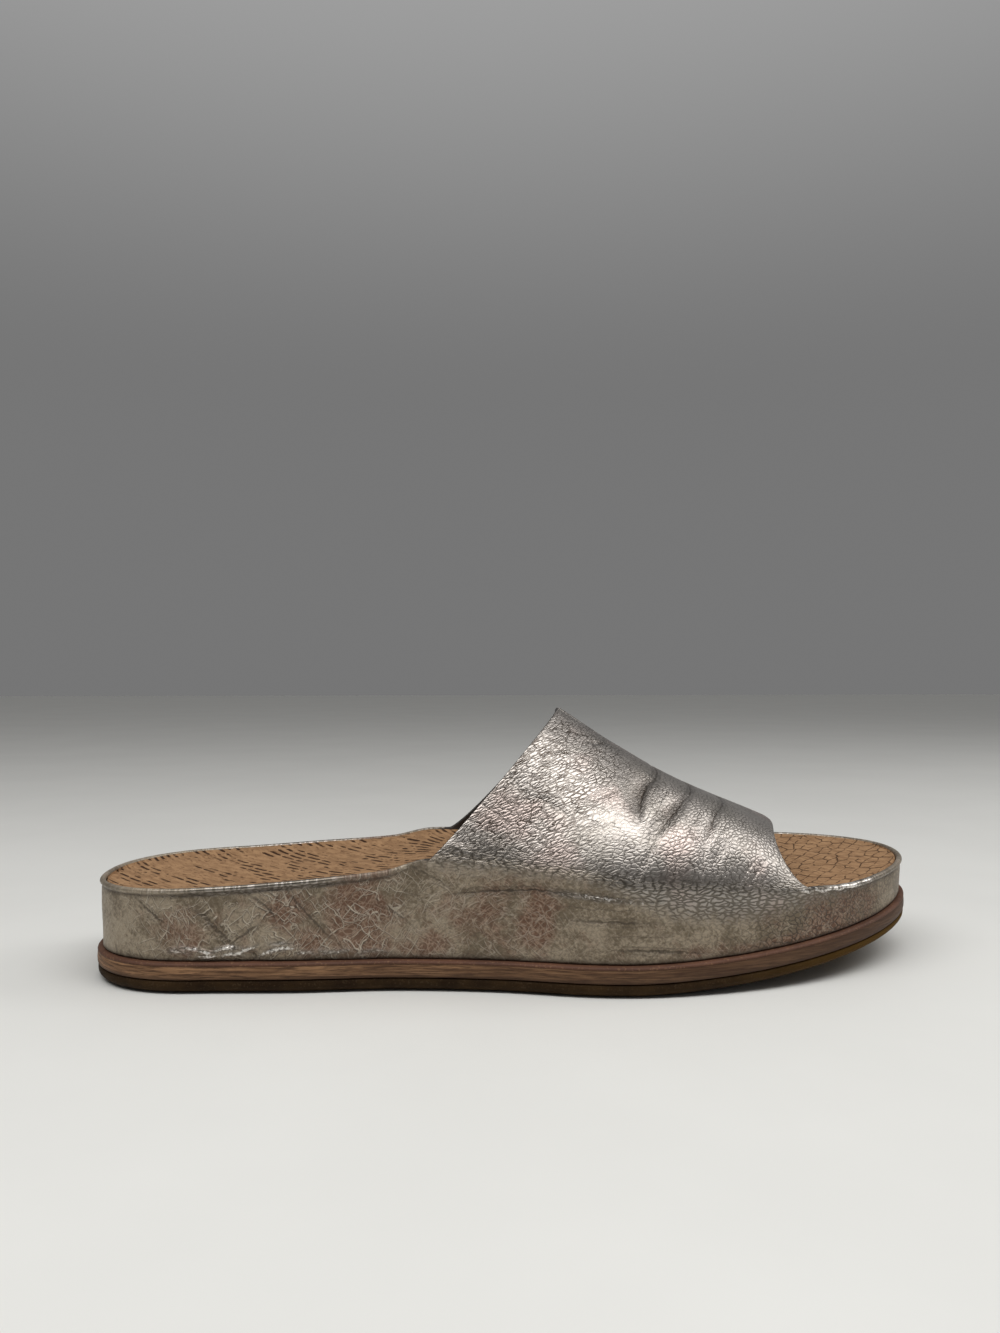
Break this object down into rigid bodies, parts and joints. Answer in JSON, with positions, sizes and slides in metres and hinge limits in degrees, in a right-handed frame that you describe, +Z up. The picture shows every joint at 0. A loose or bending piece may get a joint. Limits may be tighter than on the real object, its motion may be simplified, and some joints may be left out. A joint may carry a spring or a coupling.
{
  "type": "slide sandal",
  "caption": "Platform slide sandal for a right foot: one broad metallic leather strap that runs down into the platform's leather band, cork footbed, stacked midsole, rubber outsole",
  "frame": {"origin": "on the floor, under the middle of the sole's outline", "axes": "+X runs along the sole to the toe, +Y to the inner side of the right foot, +Z up"},
  "size_m": [0.2704, 0.096, 0.082],
  "materials": {
    "outsole_rubber": "matt dark brown rubber",
    "midsole_leather": "brown stacked leather edge, finely streaked",
    "footbed_cork": "bare cork with dark fleck",
    "upper_leather": "pewter metallic foil on pebbled leather, creased and worn"
  },
  "bodies": {
    "root": {"outsole": "outsole_rubber", "midsole": "midsole_leather", "footbed": "footbed_cork", "upper": "upper_leather"}
  },
  "joints": []
}
